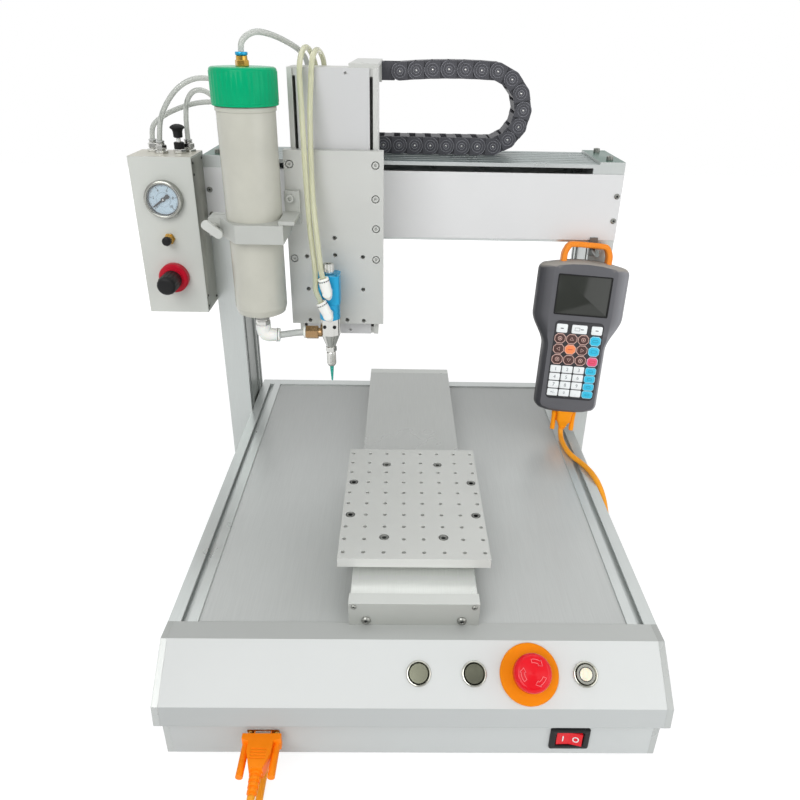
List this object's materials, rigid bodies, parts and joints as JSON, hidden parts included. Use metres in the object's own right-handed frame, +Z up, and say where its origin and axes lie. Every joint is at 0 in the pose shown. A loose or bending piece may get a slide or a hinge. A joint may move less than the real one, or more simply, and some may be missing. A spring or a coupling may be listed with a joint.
{
  "type": "glue dispensing machine",
  "caption": "Desktop three-axis gantry glue dispensing machine with sloped console, drilled table, barrel and valve head, drag chain, air control box and teach pendant.",
  "frame": {"origin": "middle of the outline at the underside of the feet", "axes": "+X along the gantry to the machine's right, +Y from the console to the rear, +Z up"},
  "size_m": [0.6266, 0.7635, 0.633],
  "materials": {
    "white_panel": "satin powder coat",
    "grey_sheet": "fine textured powder coat",
    "blasted_aluminium": "bead blasted and clear anodised",
    "drawn_aluminium": "extruded, anodised",
    "deck_aluminium": "matte anodised sheet",
    "ground_steel": "ground and polished",
    "bright_steel": "polished, nickel plated",
    "black_steel": "black oxide",
    "brass": "turned brass",
    "black_plastic": "moulded, fine grain",
    "chain_plastic": "moulded nylon",
    "white_plastic": "moulded",
    "barrel_plastic": "translucent polypropylene",
    "green_plastic": "moulded",
    "orange_plastic": "soft moulded",
    "orange_cable": "smooth jacket",
    "red_plastic": "moulded",
    "yellow_plastic": "moulded",
    "blue_anodised": "blue anodised aluminium",
    "pendant_plastic": "fine grained moulding",
    "screen": "flat liquid crystal window",
    "keys": "printed membrane",
    "clear_tube": "clear polyurethane",
    "needle_plastic": "translucent moulded",
    "foot_rubber": "matte rubber",
    "dial": "dial behind a window"
  },
  "bodies": {
    "root": {"base_tray": "grey_sheet", "side_rails": "drawn_aluminium", "deck_plate": "deck_aluminium", "console_shell": "white_panel", "console_ends": "white_panel", "feet": "foot_rubber", "y_base": "drawn_aluminium", "y_cover": "deck_aluminium", "columns": "drawn_aluminium", "beam_body": "drawn_aluminium", "beam_cover": "white_panel", "chain_lower_run": "chain_plastic", "pendant_hook": "black_steel", "control_box": "white_panel", "pressure_gauge": "dial", "regulator_body": "red_plastic", "box_fittings": "brass", "panel_fittings": "bright_steel", "estop_ring": "yellow_plastic", "frame_screws": "black_steel", "box_tubes": "clear_tube", "pendant_cord": "orange_cable", "cord_coil": "orange_cable", "front_plug": "orange_plastic"},
    "table": {"y_carriage": "blasted_aluminium", "table_plate": "blasted_aluminium", "table_screws": "black_steel"},
    "y_screw": {"y_screw": "ground_steel"},
    "x_screw": {"x_screw": "ground_steel"},
    "head": {"x_carriage": "blasted_aluminium", "z_housing": "blasted_aluminium", "z_cover": "white_panel", "chain_upper_run": "chain_plastic"},
    "z_screw": {"z_screw": "ground_steel"},
    "chain_bend": {"chain_bend": "chain_plastic"},
    "tool": {"z_plate": "blasted_aluminium", "barrel_clamp": "blasted_aluminium", "glue_barrel": "barrel_plastic", "valve_body": "blue_anodised", "fluid_section": "bright_steel", "needle_tip": "needle_plastic", "feed_line": "white_plastic", "air_elbows": "white_plastic", "air_tubes": "clear_tube"},
    "wing_knob": {"wing_knob": "bright_steel"},
    "barrel_cap": {"barrel_cap": "green_plastic"},
    "stroke_knob": {"stroke_knob": "bright_steel"},
    "start_button": {"start_button": "bright_steel"},
    "reset_button": {"reset_button": "bright_steel"},
    "lit_button": {"lit_button": "bright_steel"},
    "estop_head": {"estop_head": "red_plastic"},
    "rocker_paddle": {"rocker_paddle": "red_plastic"},
    "regulator_knob": {"regulator_knob": "black_plastic"},
    "needle_valve_knob": {"needle_valve_knob": "brass"},
    "gauge_needle": {"gauge_needle": "black_plastic"},
    "pull_knob": {"pull_knob": "black_plastic"},
    "pendant": {"pendant_shell": "pendant_plastic", "pendant_handle": "orange_plastic", "pendant_screen": "screen", "pendant_keypad": "keys"}
  },
  "joints": [
    {"name": "y_slide", "type": "slide", "parent": "root", "child": "table", "axis": [0, 1, 0], "range_m": [-0.04, 0.26]},
    {"name": "y_screw_spin", "type": "hinge", "parent": "root", "child": "y_screw", "pos_m": [0.02743, -0.09165, 0.144], "axis": [0, 1, 0], "range_deg": [-725, 4685]},
    {"name": "x_slide", "type": "slide", "parent": "root", "child": "head", "axis": [1, 0, 0], "range_m": [0, 0.2], "deforming": ["chain_lower_run", "chain_upper_run"]},
    {"name": "x_screw_spin", "type": "hinge", "parent": "root", "child": "x_screw", "pos_m": [0.02743, 0.24075, 0.4436], "axis": [1, 0, 0], "range_deg": [-5, 3605]},
    {"name": "chain_loop", "type": "slide", "parent": "root", "child": "chain_bend", "axis": [1, 0, 0], "range_m": [0, 0.1]},
    {"name": "z_slide", "type": "slide", "parent": "head", "child": "tool", "axis": [0, 0, -1], "range_m": [-0.035, 0.065], "deforming": ["air_tubes"]},
    {"name": "z_screw_spin", "type": "hinge", "parent": "head", "child": "z_screw", "pos_m": [-0.06482, 0.12475, 0.444], "axis": [0, 0, 1], "range_deg": [-1265, 2345]},
    {"name": "wing_knob_turn", "type": "hinge", "parent": "tool", "child": "wing_knob", "pos_m": [-0.19557, 0.06075, 0.4365], "axis": [0, -1, 0], "range_deg": [-180, 180]},
    {"name": "barrel_cap_turn", "type": "hinge", "parent": "tool", "child": "barrel_cap", "pos_m": [-0.15207, 0.06075, 0.5625], "axis": [0, 0, 1], "range_deg": [0, 270]},
    {"name": "stroke_knob_turn", "type": "hinge", "parent": "tool", "child": "stroke_knob", "pos_m": [-0.07157, 0.05575, 0.3845], "axis": [0, 0, 1], "range_deg": [-180, 180]},
    {"name": "start_button_push", "type": "slide", "parent": "root", "child": "start_button", "axis": [0, 0.6207, -0.784], "range_m": [0, 0.0025], "stiffness_N_per_m": 400, "springref_m": -0.001},
    {"name": "reset_button_push", "type": "slide", "parent": "root", "child": "reset_button", "axis": [0, 0.6207, -0.784], "range_m": [0, 0.0025], "stiffness_N_per_m": 400, "springref_m": -0.001},
    {"name": "lit_button_push", "type": "slide", "parent": "root", "child": "lit_button", "axis": [0, 0.6207, -0.784], "range_m": [0, 0.0025], "stiffness_N_per_m": 400, "springref_m": -0.001},
    {"name": "estop_push", "type": "slide", "parent": "root", "child": "estop_head", "axis": [0, 0.6207, -0.784], "range_m": [0, 0.004], "stiffness_N_per_m": 800, "springref_m": -0.001},
    {"name": "rocker_switch", "type": "hinge", "parent": "root", "child": "rocker_paddle", "pos_m": [0.17693, -0.27775, 0.0367], "axis": [0, 0, 1], "range_deg": [0, 12]},
    {"name": "regulator_turn", "type": "hinge", "parent": "root", "child": "regulator_knob", "pos_m": [-0.27577, 0.12775, 0.3502], "axis": [0, -1, 0], "range_deg": [-300, 300]},
    {"name": "needle_valve_turn", "type": "hinge", "parent": "root", "child": "needle_valve_knob", "pos_m": [-0.27577, 0.13075, 0.3992], "axis": [0, -1, 0], "range_deg": [-360, 360]},
    {"name": "gauge_needle_turn", "type": "hinge", "parent": "root", "child": "gauge_needle", "pos_m": [-0.27577, 0.13455, 0.4477], "axis": [0, 1, 0], "range_deg": [-10, 260]},
    {"name": "pull_knob_slide", "type": "slide", "parent": "root", "child": "pull_knob", "axis": [0, 0, 1], "range_m": [-0.004, 0]},
    {"name": "pendant_lift", "type": "slide", "parent": "root", "child": "pendant", "axis": [0, 0, 1], "range_m": [0, 0.006], "deforming": ["pendant_cord"]}
  ],
  "couplings": [
    {"joint": "x_screw_spin", "follows": "x_slide", "rad_per_m": 314.16},
    {"joint": "chain_loop", "follows": "x_slide", "ratio": 0.5},
    {"joint": "y_screw_spin", "follows": "y_slide", "rad_per_m": 314.16},
    {"joint": "z_screw_spin", "follows": "z_slide", "rad_per_m": 628.32}
  ]
}
